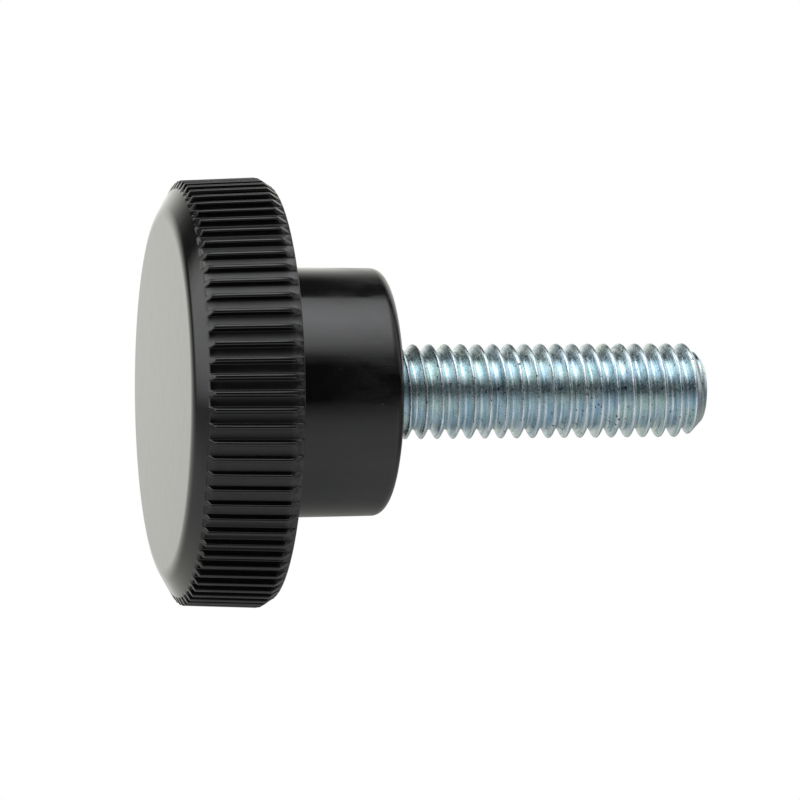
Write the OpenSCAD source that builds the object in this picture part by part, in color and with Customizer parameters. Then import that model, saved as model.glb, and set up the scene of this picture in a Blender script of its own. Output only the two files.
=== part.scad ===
// Knurled knob with a male threaded stud.
// A thin round head with a fluted rim stands on a plain round hub. Both are one moulding of black
// plastic around the hexagonal head of a zinc-plated steel screw. The part stands on the flat front
// face of the head: the origin is the middle of that face, and the stud points along +Z.

/* [Head] */
// Diameter over the flute crests at the front of the rim
head_d = 25.6; // [20:0.1:40]
// How much the radius over the crests grows from the front of the rim to its back
rim_draft = 0.2; // [0:0.05:0.4]
// Thickness of the head along the axis
head_h = 6.35; // [4.5:0.05:8]
// How far the front bevel reaches in from the rim
front_bevel_in = 1.9; // [0.8:0.1:3]
// Height of the front bevel along the axis
front_bevel_h = 1.1; // [0.5:0.05:2]
// Radius that rounds the edge between the front face and the front bevel
face_edge_r = 1.6; // [0.2:0.1:2.4]
// How far the back bevel reaches in from the rim
back_bevel_in = 0.5; // [0.4:0.05:1.5]
// Height of the back bevel along the axis
back_bevel_h = 0.75; // [0.4:0.05:1.5]

/* [Flutes] */
// Number of flutes around the rim
flute_count = 82; // [24:1:90]
// Radius of a round-bottomed flute, centred on the line of the crests
flute_r = 0.29; // [0.15:0.01:0.31]

/* [Hub] */
// Diameter of the hub where it leaves the head
hub_d = 15.15; // [13.5:0.05:18]
// How much the hub's radius shrinks from the head to its end
hub_draft = 0.05; // [0:0.05:0.3]
// Height of the whole knob, from the front face to the hub's end
knob_h = 13.4; // [12:0.1:30]
// Radius that rounds the outer edge of the hub's end
hub_edge_r = 0.7; // [0.2:0.1:1.2]
// Width of the countersink in the hub's end, outside the thread
countersink = 0.25; // [0.1:0.05:0.6]

/* [Stud] */
// Major diameter of the M6 coarse thread
thread_d = 5.8; // [4.8:0.1:8]
// Length of stud standing out of the hub
stud_out = 20.1; // [8:0.1:60]
// Height and depth of the chamfer at the stud's tip
tip_chamfer = 0.9; // [0.3:0.1:1.5]

/* [Anchor] */
// Length of the screw between the hub's end and the underside of its moulded-in head
anchor_depth = 4.9; // [3:0.1:6]
// Width across the flats of the moulded-in hexagonal head
anchor_af = 10; // [9:0.1:11]
// Height of the moulded-in hexagonal head
anchor_h = 4; // [2:0.1:4.5]
// How much smaller the radius of the plain neck inside the hub is than the thread's
neck_step = 0.25; // [0.1:0.05:0.6]

/* [Hidden] */
$fn = 128;

// Cutters run this far past the surfaces that they cut
over = 1;

rim_front_r = head_d / 2;
rim_back_r = rim_front_r + rim_draft;
rim_top = head_h - back_bevel_h;
face_r = rim_front_r - front_bevel_in;

// The line of the crests leans outwards towards the back by this angle
crest_lean = atan2(rim_draft, rim_top - front_bevel_h);

// The front bevel's slope, measured from the flat face, sets where the rounded edge starts and ends
bevel_slope = atan2(front_bevel_h, front_bevel_in);
edge_tangent = face_edge_r * tan(bevel_slope / 2);

hub_root_r = hub_d / 2;
hub_end_r = hub_root_r - hub_draft;
anchor_bottom = knob_h - anchor_depth - anchor_h;
anchor_corner_d = anchor_af / cos(30);
thread_r = thread_d / 2;
neck_r = thread_r - neck_step;
countersink_h = neck_step + countersink;
tip_z = knob_h + stud_out;

// Points of an arc in a half section (radius, height), from angle a0 to a1 about its centre
function arc(centre, radius, a0, a1, steps = 12) =
    [for (i = [0:steps]) let (a = a0 + (a1 - a0) * i / steps)
        [centre[0] + radius * cos(a), centre[1] + radius * sin(a)]];

// Half section of the head: flat face, rounded edge, front bevel, rim and back bevel
module head_section() {
    polygon(concat(
        [[0, 0]],
        arc([face_r - edge_tangent, face_edge_r], face_edge_r, -90, -90 + bevel_slope),
        [
            [rim_front_r, front_bevel_h],
            [rim_back_r, rim_top],
            [rim_back_r - back_bevel_in, head_h],
            [0, head_h]
        ]
    ));
}

// Half section of the hub, from inside the head to its rounded end
module hub_section() {
    polygon(concat(
        [[0, rim_top], [hub_root_r, rim_top], [hub_root_r, head_h]],
        arc([hub_end_r - hub_edge_r, knob_h - hub_edge_r], hub_edge_r, 0, 90),
        [[0, knob_h]]
    ));
}

// Cutter for one round-bottomed flute, along the line of the crests and out through both bevels
module flute() {
    translate([rim_front_r, 0, front_bevel_h])
        rotate([0, crest_lean, 0])
            translate([0, 0, -front_bevel_h - over])
                cylinder(h = head_h + 2 * over, r = flute_r, $fn = 24);
}

// The screw's head and its plain neck, which runs past the hub's end: the body's cavity and the steel
// share this shape exactly, because the plastic is moulded straight onto the screw
module head_and_neck() {
    translate([0, 0, anchor_bottom])
        cylinder(h = anchor_h, d = anchor_corner_d, $fn = 6);
    translate([0, 0, anchor_bottom])
        cylinder(h = anchor_h + anchor_depth + over, r = neck_r);
}

// Cutter for the countersink, which slopes at 45 degrees from the neck out past the thread
module countersink_cut() {
    translate([0, 0, knob_h - countersink_h])
        cylinder(h = countersink_h + over, r1 = neck_r, r2 = neck_r + countersink_h + over);
}

module knob_body() {
    color([0.07, 0.07, 0.07])
        difference() {
            union() {
                rotate_extrude() head_section();
                rotate_extrude() hub_section();
            }
            for (i = [0:flute_count - 1])
                rotate([0, 0, i * 360 / flute_count]) flute();
            head_and_neck();
            countersink_cut();
        }
}

module threaded_stud() {
    color([0.66, 0.7, 0.73])
        union() {
            head_and_neck();
            translate([0, 0, knob_h])
                cylinder(h = stud_out - tip_chamfer, r = thread_r);
            translate([0, 0, tip_z - tip_chamfer])
                cylinder(h = tip_chamfer, r1 = thread_r, r2 = thread_r - tip_chamfer);
        }
}

knob_body();
threaded_stud();
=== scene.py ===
"""Knurled knob with a male threaded stud, standing on its head on a pale bench."""

import bmesh
import bpy
import numpy as np
from mathutils import Matrix, Vector


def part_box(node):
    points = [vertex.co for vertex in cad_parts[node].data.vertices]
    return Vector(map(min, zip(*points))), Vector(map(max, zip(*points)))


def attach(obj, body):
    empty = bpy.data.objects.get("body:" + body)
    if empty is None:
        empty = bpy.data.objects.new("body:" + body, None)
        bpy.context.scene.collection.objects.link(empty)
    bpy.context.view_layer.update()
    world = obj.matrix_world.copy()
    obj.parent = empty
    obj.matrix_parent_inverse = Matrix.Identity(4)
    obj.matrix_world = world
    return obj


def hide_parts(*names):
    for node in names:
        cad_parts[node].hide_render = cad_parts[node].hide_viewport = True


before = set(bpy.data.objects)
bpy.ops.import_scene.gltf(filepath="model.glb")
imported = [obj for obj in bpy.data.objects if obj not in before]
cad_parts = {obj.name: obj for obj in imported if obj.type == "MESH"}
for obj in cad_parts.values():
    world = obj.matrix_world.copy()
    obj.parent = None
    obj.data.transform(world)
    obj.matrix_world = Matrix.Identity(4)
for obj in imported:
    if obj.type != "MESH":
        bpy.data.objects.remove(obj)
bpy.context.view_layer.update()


# ---- Knob body -----------------------------------------------------------------------------------
# One moulding of glossy black thermoset plastic: a thin head with a fluted rim, bevelled at the
# front and back, and a plain round hub. It is pressed in a polished steel mould, around the head of
# the screw, so its edges are slightly rounded and the rim and hub carry a little draft.

hub_end_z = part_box("knob_body")[1].z
head_h = 0.00635
face_ring_r = 0.004
face_edge_r = 0.0016
front_bevel_in = 0.0019
front_bevel_h = 0.0011
flutes_from = 0.35
rim_front_r = 0.0128
rim_draft = 0.0002
back_bevel_in = 0.0005
back_bevel_h = 0.00075
back_edge_r = 0.00012
back_edge_start = np.array((0.5, -0.8))
back_edge_middle = np.array((-0.3, -1))
rim_taper = rim_draft / (head_h - back_bevel_h - front_bevel_h)
hub_root_r = 0.007575
hub_root_fillet = 0.0003
hub_draft = 0.00005
hub_edge_r = 0.0007
stud_r = 0.0029
neck_r = 0.00265
mouth_r = 0.00315
edge_gap = 0.00002

flute_count = 82
flute_depth = 0.00046
ridge_r = 0.00014
ridge_points = 5
flute_corner_r = 0.00006
corner_points = 3
wall_slope = np.radians(84)
floor_slope = np.radians(12)
bevel_lip = 0.00003


def line(start, end, steps):
    """Points of a straight stretch of the outline, (radius, height), evenly from start to end."""
    share = np.linspace(0, 1, steps)[:, None]
    return np.array(start) * (1 - share) + np.array(end) * share


def arc(centre, radius, start, end, steps):
    """Points of a round stretch: centre plus radius times (cosine, sine) of angles in degrees."""
    angle = np.radians(np.linspace(start, end, steps))
    return np.array(centre) + radius * np.stack((np.cos(angle), np.sin(angle)), axis=1)


def knob_outline():
    """Half section (radius, height) from the middle of the face round to the middle of the hub's end.

    Straight stretches and arcs follow one another. Their points are closer together where the
    flutes run out through the two bevels, because the edge there is curved.
    """
    slope = np.degrees(np.arctan2(front_bevel_h, front_bevel_in))
    tangent = face_edge_r * np.tan(np.radians(slope) / 2)
    face_r = rim_front_r - front_bevel_in
    rim_back_r = rim_front_r + rim_draft
    rim_top = head_h - back_bevel_h
    back_corner = np.array((rim_back_r - back_bevel_in, head_h))
    edge_middle = back_corner + back_edge_middle * back_edge_r
    fillet_r = hub_root_r + hub_root_fillet
    hub_end_r = hub_root_r - hub_draft
    wall_foot = head_h + hub_root_fillet
    wall_top = hub_end_z - hub_edge_r
    bevel_start = arc((face_r - tangent, face_edge_r), face_edge_r, -90, -90 + slope, 9)
    rim_foot = np.array((rim_front_r, front_bevel_h))
    bevel_mid = bevel_start[-1] * (1 - flutes_from) + rim_foot * flutes_from
    return np.concatenate((
        line((face_ring_r, 0), (face_r - tangent - edge_gap, 0), 2),
        bevel_start,
        line(bevel_mid, rim_foot, 11),
        line(rim_foot, (rim_back_r, rim_top), 5)[1:-1],
        line((rim_back_r, rim_top), back_corner + back_edge_start * back_edge_r, 9),
        arc(edge_middle, back_edge_r, 30, 90, 4),
        line((edge_middle[0] - edge_gap, head_h), (fillet_r + edge_gap, head_h), 2),
        arc((fillet_r, wall_foot), hub_root_fillet, -90, -180, 6),
        line((hub_root_r, wall_foot + edge_gap), (hub_end_r, wall_top - edge_gap), 2),
        arc((hub_end_r - hub_edge_r, wall_top), hub_edge_r, 0, 90, 10),
        line((hub_end_r - hub_edge_r - edge_gap, hub_end_z), (mouth_r + edge_gap, hub_end_z), 2),
        line((mouth_r - edge_gap, hub_end_z - edge_gap), (neck_r, hub_end_z - mouth_r + neck_r), 2),
    ))


def flute_section():
    """Distance across one flute and the depth below the crest line there.

    From the ridge's middle, an arc over the ridge, a straight steep wall and an arc at the wall's foot
    lead to a floor hollowed as a parabola, whose middle is half a pitch away. The other half of the
    flute mirrors this one.
    """
    half_pitch = np.pi * rim_front_r / flute_count
    over_ridge = np.linspace(0, wall_slope, ridge_points)
    round_foot = np.linspace(wall_slope, floor_slope, corner_points)
    both_r = ridge_r + flute_corner_r
    wall_drop = flute_depth - both_r * (1 - np.cos(wall_slope))
    foot = both_r * np.sin(wall_slope) + wall_drop / np.tan(wall_slope)
    floor = np.array((foot + edge_gap, half_pitch))
    to_middle = (half_pitch - floor) / (half_pitch - foot)
    sag = np.tan(floor_slope) * (half_pitch - foot) / 2
    distance = np.concatenate((
        ridge_r * np.sin(over_ridge), foot - flute_corner_r * np.sin(round_foot), floor))
    depth = np.concatenate((
        ridge_r * (1 - np.cos(over_ridge)), flute_depth - flute_corner_r * (1 - np.cos(round_foot)),
        flute_depth + sag * (1 - to_middle ** 2)))
    across = np.concatenate((distance, 2 * half_pitch - distance[-2:0:-1])) - half_pitch
    return across, np.concatenate((depth, depth[-2:0:-1]))


def ring_faces(rows, columns):
    """Quads between neighbouring rings of a surface of revolution, then a fan at each end.

    Vertex row * columns + column is on a ring; the last two vertices are the poles.
    """
    row, column = np.meshgrid(np.arange(rows - 1), np.arange(columns), indexing="ij")
    here = row * columns + column
    beside = row * columns + (column + 1) % columns
    quads = np.stack((here, beside, beside + columns, here + columns), axis=-1).reshape(-1, 4)
    first = np.arange(columns)
    after = (first + 1) % columns
    last = (rows - 1) * columns
    low_pole = np.full(columns, rows * columns)
    low_fan = np.stack((after, first, low_pole), axis=-1)
    high_fan = np.stack((last + first, last + after, low_pole + 1), axis=-1)
    return quads.tolist() + low_fan.tolist() + high_fan.tolist()


def knob_mesh():
    """The outline turned round the axis, with the flutes taken off its radius.

    At each height the rim's radius is the smaller of the outline's and the crest line's less the
    flute's depth. The smaller is taken softly, as minus the log of a sum of exponentials, which
    rounds the edges where a flute runs out through a bevel.
    """
    outline = knob_outline()
    across, depth = flute_section()
    angle = (np.arange(flute_count)[:, None] * 2 * np.pi / flute_count + across / rim_front_r).ravel()
    depth = np.tile(depth, flute_count)
    radius, height = outline[:, :1], outline[:, 1:]
    floor = rim_front_r + rim_taper * (height - front_bevel_h) - depth
    radius = -bevel_lip * np.logaddexp(-radius / bevel_lip, -floor / bevel_lip)
    x = radius * np.cos(angle)
    y = radius * np.sin(angle)
    z = height + 0 * angle
    vertices = np.stack((x, y, z), axis=-1).reshape(-1, 3)
    poles = np.array(((0, 0, 0), (0, 0, outline[-1, 1])))
    mesh = bpy.data.meshes.new("knob_body")
    faces = ring_faces(len(outline), len(angle))
    mesh.from_pydata(np.concatenate((vertices, poles)).tolist(), [], faces)
    mesh.polygons.foreach_set("use_smooth", np.ones(len(faces), dtype=bool))
    return mesh


def new_material(name):
    """A material with its node tree and its shader."""
    material = bpy.data.materials.new(name)
    material.use_nodes = True
    return material, material.node_tree, material.node_tree.nodes["Principled BSDF"]


def add_noise(tree, place, scale, detail, roughness=0.5):
    """Cloudy noise from 0 to 1, a half on average; the scale is in clouds to a unit of the place."""
    texture = tree.nodes.new("ShaderNodeTexNoise")
    texture.inputs["Scale"].default_value = scale
    texture.inputs["Detail"].default_value = detail
    texture.inputs["Roughness"].default_value = roughness
    tree.links.new(place, texture.inputs["Vector"])
    return texture.outputs["Fac"]


def add_range(tree, value, start, end, low, high):
    """Low up to the start, high from the end on, and a straight line between them."""
    step = tree.nodes.new("ShaderNodeMapRange")
    for socket, number in zip(step.inputs[1:5], (start, end, low, high)):
        socket.default_value = number
    tree.links.new(value, step.inputs["Value"])
    return step.outputs["Result"]


def add_mix(tree, share, first, second):
    """The first colour where the share is 0 and the second where it is 1."""
    mix = tree.nodes.new("ShaderNodeMix")
    mix.data_type = "RGBA"
    tree.links.new(share, mix.inputs["Factor"])
    for colour, socket in ((first, mix.inputs["A"]), (second, mix.inputs["B"])):
        if isinstance(colour, bpy.types.NodeSocket):
            tree.links.new(colour, socket)
        else:
            socket.default_value = (*colour, 1)
    return mix.outputs["Result"]


def add_sum(tree, value, times, plus):
    """The value times one number or socket, plus another. With 0 to add, it multiplies two masks."""
    node = tree.nodes.new("ShaderNodeMath")
    node.operation = "MULTIPLY_ADD"
    for part, socket in zip((value, times, plus), node.inputs):
        if isinstance(part, bpy.types.NodeSocket):
            tree.links.new(part, socket)
        else:
            socket.default_value = part
    return node.outputs["Value"]


def add_bump(tree, height, depth, strength, under=None):
    """Bump of the given depth in metres, on top of another bump if there is one."""
    bump = tree.nodes.new("ShaderNodeBump")
    bump.inputs["Strength"].default_value = strength
    bump.inputs["Distance"].default_value = depth
    tree.links.new(height, bump.inputs["Height"])
    if under:
        tree.links.new(under, bump.inputs["Normal"])
    return bump.outputs["Normal"]


resin = (0.0012, 0.0012, 0.0012)
dull_resin = (0.0035, 0.0035, 0.0033)
hazed_resin = (0.006, 0.006, 0.0058)
grimy_resin = (0.028, 0.028, 0.026)
dust_grey = (0.09, 0.09, 0.085)
resin_ior = 1.5
handling_stretch = (1, 1, 0.35)

# A noise: its scale, detail and roughness. A range: from, to, and what it gives at each.
smear_noise = (900, 4, 0.6)
smear_roughness = (0.42, 0.72, 0.08, 0.15)
haze_noise = (620, 6, 0.72)
haze_clouds = (0.36, 0.58, 0, 1)
haze_by_height = (0.0085, 0.0115, 0, 1)
haze_roughness = 0.17
rim_by_radius = (0.0115, 0.0119, 0, 1)
rim_by_height = (0.0009, 0.0013, 0, 1)
floor_by_radius = (0.01242, 0.01264, 1, 0)
floor_roughness = 0.2
dust_noise = (6500, 2)
dust_specks = (0.775, 0.8, 0, 1)
film_noise = (1300, 5, 0.7)
film_patches = (0.45, 0.8, 0, 1)
grime_noise = (3400, 4, 0.65)
grime_patches = (0.4, 0.66, 0, 1)
grime_by_height = (0.0055, 0.0058, 0, 0.75)
ripple_noise = (1500, 2)
ripple_depth = 0.00001
ripple_strength = 0.18


def black_plastic():
    """Polished black phenolic: very dark, with a faint ripple, smears from handling and fine dust.

    The floors of the flutes are rougher than their ridges, the hub is hazed towards its end, and
    grime dulls the back bevel. The height, and the distance from the axis less the rim's draft, say
    where these are.
    """
    material, tree, shader = new_material("black_plastic")
    shader.inputs["IOR"].default_value = resin_ior
    place = tree.nodes.new("ShaderNodeTexCoord").outputs["Object"]
    handled = tree.nodes.new("ShaderNodeMapping")
    handled.inputs["Scale"].default_value = handling_stretch
    tree.links.new(place, handled.inputs["Vector"])
    parts = tree.nodes.new("ShaderNodeSeparateXYZ")
    tree.links.new(place, parts.inputs["Vector"])
    height = parts.outputs["Z"]
    flat = tree.nodes.new("ShaderNodeVectorMath")
    flat.operation = "MULTIPLY"
    flat.inputs[1].default_value = (1, 1, 0)
    tree.links.new(place, flat.inputs[0])
    span = tree.nodes.new("ShaderNodeVectorMath")
    span.operation = "LENGTH"
    tree.links.new(flat.outputs["Vector"], span.inputs[0])
    undrafted = add_sum(tree, height, -rim_taper, span.outputs["Value"])

    clouds = add_range(tree, add_noise(tree, handled.outputs["Vector"], *haze_noise), *haze_clouds)
    haze = add_sum(tree, add_range(tree, height, *haze_by_height), clouds, 0)
    outside = add_range(tree, undrafted, *rim_by_radius)
    in_rim = add_sum(tree, outside, add_range(tree, height, *rim_by_height), 0)
    in_flute = add_sum(tree, in_rim, add_range(tree, undrafted, *floor_by_radius), 0)
    smear = add_noise(tree, handled.outputs["Vector"], *smear_noise)
    gloss = add_range(tree, smear, *smear_roughness)
    gloss = add_sum(tree, in_flute, floor_roughness, gloss)
    tree.links.new(add_sum(tree, haze, haze_roughness, gloss), shader.inputs["Roughness"])

    film = add_range(tree, add_noise(tree, place, *film_noise), *film_patches)
    grime = add_range(tree, add_noise(tree, place, *grime_noise), *grime_patches)
    on_back = add_sum(tree, in_rim, add_range(tree, height, *grime_by_height), 0)
    dust = add_range(tree, add_noise(tree, place, *dust_noise), *dust_specks)
    tone = add_mix(tree, film, resin, dull_resin)
    tone = add_mix(tree, haze, tone, hazed_resin)
    tone = add_mix(tree, add_sum(tree, on_back, grime, 0), tone, grimy_resin)
    tree.links.new(add_mix(tree, dust, tone, dust_grey), shader.inputs["Base Color"])
    ripple = add_bump(tree, add_noise(tree, place, *ripple_noise), ripple_depth, ripple_strength)
    tree.links.new(ripple, shader.inputs["Normal"])
    return material


knob = bpy.data.objects.new("knob_moulding", knob_mesh())
bpy.context.scene.collection.objects.link(knob)
knob.data.materials.append(black_plastic())
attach(knob, "root")
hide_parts("knob_body")


# ---- Threaded stud -------------------------------------------------------------------------------
# The screw's thread, rolled into steel wire and then zinc plated: a right-hand M6 coarse thread with
# rounded crests, whose last turn runs out on the chamfer at the tip. The screw is held by its head,
# which lies inside the moulding and can't be seen.

tip_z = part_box("threaded_stud")[1].z
thread_pitch = 0.001
thread_depth = 0.00060
flank_slope = np.radians(30)
crest_half_width = 0.00006
crest_round = 0.00004
root_round = 0.00005
thread_phase = 0.53
stud_foot_z = hub_end_z - mouth_r + neck_r
tip_chamfer = 0.0009
tip_r = stud_r - tip_chamfer
dish_rings = ((0.97, 0.00001), (0.9, 0.00003), (0.65, 0.00009), (0.3, 0.00013))
dish_depth = 0.00014
dish_turn = 0.018
dish_pitch = 0.02
dish_share = 0.8
turn_points = 96
pitch_points = 20


def thread_radius(across):
    """Radius at a share of the pitch, 0 and 1 at the roots and a half at the crest.

    The flanks fall at 60 degrees to each other from a narrow crest. The crest and the root are
    rounded by taking the smaller and the larger of two radii softly.
    """
    from_crest = np.abs(across - 0.5) * thread_pitch
    flank = stud_r - (from_crest - crest_half_width) / np.tan(flank_slope)
    under_crest = -crest_round * np.logaddexp(-stud_r / crest_round, -flank / crest_round)
    root_r = stud_r - thread_depth
    return root_round * np.logaddexp(root_r / root_round, under_crest / root_round)


def thread_mesh():
    """A ribbon one pitch wide, wound into a helix whose edges meet, and cut flat at both ends.

    Along the ribbon the height climbs one pitch a turn; across it the height climbs one pitch and
    the radius follows the thread. The radius is no more than the chamfer's near the tip, or the
    neck's inside the hub. The map "wind" keeps the turns along the ribbon and the share across it.
    """
    turns = int(np.ceil((tip_z - stud_foot_z) / thread_pitch)) + 3
    wound = np.arange(turns * turn_points + 1) / turn_points
    across = np.arange(pitch_points) / pitch_points
    angle = 2 * np.pi * (wound[:, None] + 0 * across)
    base = stud_foot_z - 2 * thread_pitch + thread_phase * thread_pitch
    height = base + thread_pitch * (wound[:, None] + across)
    neck = neck_r + np.clip(height - hub_end_z, 0, None)
    limit = np.minimum(tip_r + tip_z - height, neck)
    radius = thread_radius(across) + 0 * height
    radius = -crest_round * np.logaddexp(-radius / crest_round, -limit / crest_round)
    points = np.stack((radius * np.cos(angle), radius * np.sin(angle), height), axis=-1)
    along, side = np.meshgrid(np.arange(len(wound) - 1), np.arange(pitch_points), indexing="ij")
    here = along * pitch_points + side
    wrap = side == pitch_points - 1
    beyond = np.where(wrap, (along + turn_points) * pitch_points, here + 1)
    quads = np.stack((here, here + pitch_points, beyond + pitch_points, beyond), axis=-1)
    whole = (along + turn_points + 1 < len(wound)) | ~wrap
    mesh = bpy.data.meshes.new("threaded_stud")
    mesh.from_pydata(points.reshape(-1, 3).tolist(), [], quads[whole].tolist())
    wind = np.stack(np.broadcast_arrays(wound[:, None], across), axis=-1).reshape(-1, 2)
    corner = np.zeros(len(mesh.loops), dtype=np.int32)
    mesh.loops.foreach_get("vertex_index", corner)
    corners = wind[corner].reshape(-1, 4, 2)
    turn, share = corners[..., 0], corners[..., 1]
    # A quad that joins two windings ends at share 0 of the next turn, which is share 1 of its own.
    joined = share.max(axis=1, keepdims=True) > 0.5 + 1 / pitch_points
    share[:] = np.where((share == 0) & joined, 1, share)
    turn[:] = np.where(turn - turn.min(axis=1, keepdims=True) > 0.5, turn - 1, turn)
    mesh.uv_layers.new(name="wind").data.foreach_set("uv", corners.ravel().astype(np.float32))
    return mesh


def cut_ends(mesh):
    """Cuts the helix level at its foot and tip, closes the foot and gives the tip its dished end.

    The dish is made of rings, each a share of the tip's radius and a little lower than the last. Its
    part of the map "wind" is laid flat over it.
    """
    form = bmesh.new()
    form.from_mesh(mesh)
    for level, outward in ((stud_foot_z, -1), (tip_z, 1)):
        everything = form.verts[:] + form.edges[:] + form.faces[:]
        bmesh.ops.bisect_plane(form, geom=everything, plane_co=(0, 0, level),
                               plane_no=(0, 0, outward), clear_outer=True)
    rims = [edge for edge in form.edges if edge.is_boundary]
    foot = [edge for edge in rims if edge.verts[0].co.z < hub_end_z]
    bmesh.ops.edgeloop_fill(form, edges=foot)
    rim = [edge for edge in rims if edge.verts[0].co.z > hub_end_z]
    for inset, sink in dish_rings:
        grown = bmesh.ops.extrude_edge_only(form, edges=rim)["geom"]
        rim = [item for item in grown if isinstance(item, bmesh.types.BMEdge)]
        ring = {corner for edge in rim for corner in edge.verts}
        for corner in ring:
            flat = Vector((corner.co.x, corner.co.y)).normalized() * tip_r * inset
            corner.co = (flat.x, flat.y, tip_z - sink)
    bmesh.ops.edgeloop_fill(form, edges=rim)
    wind = form.loops.layers.uv["wind"]
    for corner in (loop for face in form.faces for loop in face.loops):
        if min(other.co.z for other in corner.face.verts) > tip_z - dish_depth:
            corner[wind].uv = (corner.vert.co.x / dish_turn, dish_share + corner.vert.co.y / dish_pitch)
    bmesh.ops.recalc_face_normals(form, faces=form.faces)
    for face in form.faces:
        face.smooth = True
    form.to_mesh(mesh)
    form.free()
    return mesh


blue_film = (0.485, 0.63, 0.72)
green_film = (0.555, 0.69, 0.68)
light_streak = (0.77, 0.82, 0.81)
dark_streak = (0.18, 0.27, 0.31)
# Lighter zinc for the crests: partly real wear, partly a painted highlight along them.
worn_and_highlit_zinc = (0.82, 0.89, 0.92)
rolled_seam = (0.2, 0.27, 0.3)
pit_black = (0.035, 0.05, 0.055)
drawn_stretch = (5, 9, 1)

streak_noise = (1, 4, 0.65)
light_streaks = (0.48, 0.62, 0, 0.9)
dark_streaks = (0.32, 0.46, 0.9, 0)
patch_noise = (420, 3, 0.6)
film_tints = (0.4, 0.6, 0, 1)
grain_noise = (5200, 4, 0.65)
grain_roughness = (0.35, 0.7, 0.16, 0.43)
pit_noise = (2900, 3, 0.6)
pit_specks = (0.635, 0.70, 0, 1)
scuff_noise = (1600, 3)
scuff_patches = (0.38, 0.56, 0.1, 1)
crest_wander = 0.16
crest_offset = -0.58
wear_and_highlight_width = (0.06, 0.1, 0.9, 0)
seam_width = (0.012, 0.03, 0.85, 0)
score_depth = 0.00004
score_strength = 0.8
grain_depth = 0.000012
grain_strength = 0.5


def zinc_plate():
    """Blue passivated zinc over rolled steel.

    Streaks follow the thread: the map "wind" gives the turns along it, and the share of the pitch
    across it. The crests are worn bright beside the seam that rolling leaves in them, and that bright
    line is also a painted highlight along the crests. Both the bright line and the seam go by how far
    they are from a line that wanders along the crest. The film is tinted in patches, and the plate has
    dark pits.
    """
    material, tree, shader = new_material("zinc_steel")
    shader.inputs["Metallic"].default_value = 1
    place = tree.nodes.new("ShaderNodeTexCoord").outputs["Object"]
    wind = tree.nodes.new("ShaderNodeUVMap")
    wind.uv_map = "wind"
    parts = tree.nodes.new("ShaderNodeSeparateXYZ")
    tree.links.new(wind.outputs["UV"], parts.inputs["Vector"])
    drawn = tree.nodes.new("ShaderNodeMapping")
    drawn.inputs["Scale"].default_value = drawn_stretch
    tree.links.new(wind.outputs["UV"], drawn.inputs["Vector"])
    streak = add_noise(tree, drawn.outputs["Vector"], *streak_noise)
    grain = add_noise(tree, place, *grain_noise)

    centred = add_sum(tree, parts.outputs["Y"], 1, crest_offset)
    off_crest = tree.nodes.new("ShaderNodeMath")
    off_crest.operation = "ABSOLUTE"
    tree.links.new(add_sum(tree, streak, crest_wander, centred), off_crest.inputs[0])
    scuffed = add_range(tree, add_noise(tree, place, *scuff_noise), *scuff_patches)
    # Mask of the lighter crest line, which is partly wear and partly a painted highlight.
    wear_and_highlight = add_sum(tree, add_range(tree, off_crest.outputs["Value"], *wear_and_highlight_width), scuffed, 0)
    seam = add_sum(tree, add_range(tree, off_crest.outputs["Value"], *seam_width), scuffed, 0)

    patch = add_range(tree, add_noise(tree, place, *patch_noise), *film_tints)
    pit = add_range(tree, add_noise(tree, place, *pit_noise), *pit_specks)
    tone = add_mix(tree, patch, blue_film, green_film)
    tone = add_mix(tree, add_range(tree, streak, *light_streaks), tone, light_streak)
    tone = add_mix(tree, add_range(tree, streak, *dark_streaks), tone, dark_streak)
    # Paints the crests lighter: partly worn zinc, partly a painted highlight.
    tone = add_mix(tree, wear_and_highlight, tone, worn_and_highlit_zinc)
    tone = add_mix(tree, seam, tone, rolled_seam)
    tree.links.new(add_mix(tree, pit, tone, pit_black), shader.inputs["Base Color"])
    tree.links.new(add_range(tree, grain, *grain_roughness), shader.inputs["Roughness"])
    scored = add_bump(tree, streak, score_depth, score_strength)
    grainy = add_bump(tree, grain, grain_depth, grain_strength, scored)
    tree.links.new(grainy, shader.inputs["Normal"])
    return material


stud = bpy.data.objects.new("rolled_stud", cut_ends(thread_mesh()))
bpy.context.scene.collection.objects.link(stud)
stud.data.materials.append(zinc_plate())
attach(stud, "root")
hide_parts("threaded_stud")


# ---- Bench ---------------------------------------------------------------------------------------
# A plain pale bench top just under the face that the knob stands on. It is painted on its upper side
# only, so that a camera below it still sees the knob.

bench_half = 0.6
bench_drop = 0.00003
bench_white = (0.82, 0.82, 0.815, 1)
bench_roughness = 0.7


def bench_paint():
    """Matt off-white on the upper side, and nothing at all on the lower."""
    material, tree, shader = new_material("bench_top")
    nodes, links = tree.nodes, tree.links
    shader.inputs["Base Color"].default_value = bench_white
    shader.inputs["Roughness"].default_value = bench_roughness
    side = nodes.new("ShaderNodeNewGeometry")
    clear = nodes.new("ShaderNodeBsdfTransparent")
    choose = nodes.new("ShaderNodeMixShader")
    links.new(side.outputs["Backfacing"], choose.inputs["Fac"])
    links.new(shader.outputs["BSDF"], choose.inputs[1])
    links.new(clear.outputs["BSDF"], choose.inputs[2])
    links.new(choose.outputs["Shader"], nodes["Material Output"].inputs["Surface"])
    return material


bench_mesh = bpy.data.meshes.new("bench")
bench_corners = np.array(((-1, -1, 0), (1, -1, 0), (1, 1, 0), (-1, 1, 0))) * bench_half
bench_corners[:, 2] = -bench_drop
bench_mesh.from_pydata(bench_corners.tolist(), [], [(0, 1, 2, 3)])
bench = bpy.data.objects.new("bench", bench_mesh)
bpy.context.scene.collection.objects.link(bench)
bench_mesh.materials.append(bench_paint())
bench.visible_glossy = False
bench.visible_shadow = False


# ---- Studio light --------------------------------------------------------------------------------
# A light tent round the bench: a softbox above the camera, a dark gap where the camera stands, a
# bright backdrop behind the knob, a card beside its face and grey cloth below. All of it is painted
# on the world.

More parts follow.
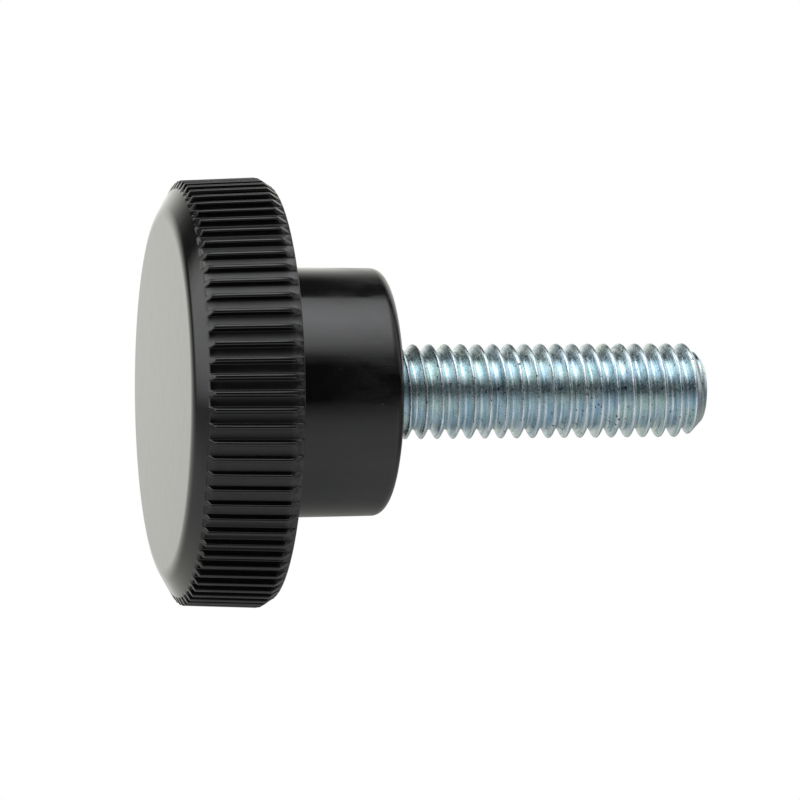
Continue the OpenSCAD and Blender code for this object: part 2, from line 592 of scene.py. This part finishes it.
cloth_and_softbox = (
    (-180, 0.33), (-150, 0.35), (-120, 0.40), (-95, 0.60), (-70, 0.80), (-45, 0.84), (-27, 0.68),
    (-16, 0.36), (-7, 0.04), (26, 0.05), (33, 0.35), (44, 1.75), (57, 2.7), (70, 3.2), (80, 2.9),
    (90, 2.2), (97, 1.5), (99, 0.08), (180, 0.08),
)
tent_turn = np.radians(-2.71)
ramp_turn = 2.34 / 360
cool_white = (0.99, 1, 1.02, 1)
warm_white = (1, 1, 0.945, 1)
backdrop_middle = (0.83, 0.214, 0.51)
card_middle = (-0.5, 0, -0.866)
card_level = 1.7
side_level = 0.58

# A soft step: from, to, and the level before and after it.
softbox_from = (0.4, 0.5, 0, 1)
cloth_to_tip = (0.72, 0.96, 1, 0.45)
softbox_to_tip = (0.2, 0.56, 1, 0.26)
backdrop_edge = (-0.44, 0.02, 0.06, 1.17)
side_from = (0, 0.4, 0, 1)
ring_from = (0.02, 0.14, 0, 1)
below_from = (-0.02, 0.01, 0, 1)
behind_from = (0.2, 0.5, 0, 1)
warm_from = (0.3, 0.8, 0, 1)
card_edge = (0.74, 0.86, 0, 1)
card_foot = (0.02, 0.08, 1, 0.08)


def light_tent():
    """World light, painted on the sphere of directions; the camera and matt surfaces see plain white.

    The angle round the knob's axis, from the camera's side upwards, picks the cloth and the softbox
    from a ramp, and both fade towards the stud's tip. The backdrop and the card are caps of the
    sphere: each is bright where the direction is close enough to the cap's middle. Soft steps along
    the axis, downwards and backwards choose between them.
    """
    world = bpy.data.worlds.new("light_tent")
    world.use_nodes = True
    nodes, links = world.node_tree.nodes, world.node_tree.links
    nodes.clear()
    spin = nodes.new("ShaderNodeVectorRotate")
    spin.rotation_type = "Z_AXIS"
    spin.inputs["Angle"].default_value = tent_turn
    links.new(nodes.new("ShaderNodeTexCoord").outputs["Generated"], spin.inputs["Vector"])
    toward = spin.outputs["Vector"]
    parts = nodes.new("ShaderNodeSeparateXYZ")
    links.new(toward, parts.inputs["Vector"])
    down, back, out = parts.outputs

    def connect(value, socket):
        if isinstance(value, bpy.types.NodeSocket):
            links.new(value, socket)
        else:
            socket.default_value = value

    def compute(operation, *values):
        node = nodes.new("ShaderNodeMath")
        node.operation = operation
        for value, socket in zip(values, node.inputs):
            connect(value, socket)
        return node.outputs["Value"]

    def fade(value, start, end, low, high):
        node = nodes.new("ShaderNodeMapRange")
        node.interpolation_type = "SMOOTHSTEP"
        for socket, number in zip(node.inputs[1:5], (start, end, low, high)):
            socket.default_value = number
        links.new(value, node.inputs["Value"])
        return node.outputs["Result"]

    def blend(share, first, second):
        node = nodes.new("ShaderNodeMix")
        connect(share, node.inputs["Factor"])
        connect(first, node.inputs["A"])
        connect(second, node.inputs["B"])
        return node.outputs["Result"]

    def closeness(middle):
        node = nodes.new("ShaderNodeVectorMath")
        node.operation = "DOT_PRODUCT"
        node.inputs[1].default_value = middle
        links.new(toward, node.inputs[0])
        return node.outputs["Value"]

    angle = compute("ARCTAN2", compute("MULTIPLY", down, -1), compute("MULTIPLY", back, -1))
    ramp = nodes.new("ShaderNodeValToRGB")
    elements = ramp.color_ramp.elements
    for degrees, brightness in cloth_and_softbox[1:-1]:
        elements.new(degrees / 360 + 0.5)
    for element, (degrees, brightness) in zip(elements, cloth_and_softbox):
        element.color = (brightness, brightness, brightness, 1)
    along_ramp = compute("MULTIPLY_ADD", angle, 0.5 / np.pi, 0.5 - ramp_turn)
    links.new(along_ramp, ramp.inputs["Fac"])
    level = ramp.outputs["Color"]
    cloth = compute("MULTIPLY", level, fade(out, *cloth_to_tip))
    softbox = compute("MULTIPLY", level, fade(out, *softbox_to_tip))
    ring = blend(fade(angle, *softbox_from), cloth, softbox)
    backdrop = fade(closeness(backdrop_middle), *backdrop_edge)
    side_light = blend(fade(down, *side_from), backdrop, side_level)
    behind = blend(fade(out, *ring_from), side_light, ring)
    lower_back = blend(fade(down, *below_from), backdrop, behind)
    room = blend(fade(back, *behind_from), ring, lower_back)
    card = compute("MULTIPLY", fade(closeness(card_middle), *card_edge), fade(down, *card_foot))
    studio = nodes.new("ShaderNodeBackground")
    links.new(blend(card, room, card_level), studio.inputs["Strength"])
    warmth = nodes.new("ShaderNodeMix")
    warmth.data_type = "RGBA"
    warmth.inputs["A"].default_value = cool_white
    warmth.inputs["B"].default_value = warm_white
    links.new(fade(back, *warm_from), warmth.inputs["Factor"])
    links.new(warmth.outputs["Result"], studio.inputs["Color"])
    path = nodes.new("ShaderNodeLightPath")
    plain = nodes.new("ShaderNodeBackground")
    plain.inputs["Color"].default_value = (1, 1, 1, 1)
    choose = nodes.new("ShaderNodeMixShader")
    even = compute("ADD", path.outputs["Is Camera Ray"], path.outputs["Is Diffuse Ray"])
    links.new(even, choose.inputs["Fac"])
    links.new(studio.outputs["Background"], choose.inputs[1])
    links.new(plain.outputs["Background"], choose.inputs[2])
    surface = nodes.new("ShaderNodeOutputWorld").inputs["Surface"]
    links.new(choose.outputs["Shader"], surface)
    return world


bpy.context.scene.world = light_tent()
bpy.context.scene.view_settings.view_transform = "Standard"


# ---- Camera --------------------------------------------------------------------------------------
# A long lens that looks across the axis and a little from the face's side, rolled so that the stud
# points to the right of the picture.

aim = Vector((0.0005, 0, 0.01465))
distance = 0.2555
yaw = np.radians(12.43)
pitch = np.radians(0.7)
roll = np.radians(-0.23)
camera_turn = np.radians(-0.37)
lens_mm = 189
sensor_mm = 36
nearest = 0.001

across_axis = np.cos(yaw) * np.cos(pitch)
along_axis = np.sin(yaw) * np.cos(pitch)
ahead = Vector((np.sin(pitch), across_axis, along_axis))
right = ahead.cross(Vector((-1, 0, 0))).normalized()
upward = right.cross(ahead)
rolled_right = right * np.cos(roll) + upward * np.sin(roll)
rolled_up = upward * np.cos(roll) - right * np.sin(roll)
lens = bpy.data.cameras.new("camera")
lens.lens = lens_mm
lens.sensor_width = sensor_mm
lens.clip_start = nearest
camera = bpy.data.objects.new("camera", lens)
turned = Matrix((rolled_right, rolled_up, -ahead)).transposed().to_4x4()
round_axis = Matrix.Rotation(-camera_turn, 4, "Z")
camera.matrix_world = round_axis @ Matrix.Translation(aim - ahead * distance) @ turned
bpy.context.scene.collection.objects.link(camera)
bpy.context.scene.camera = camera
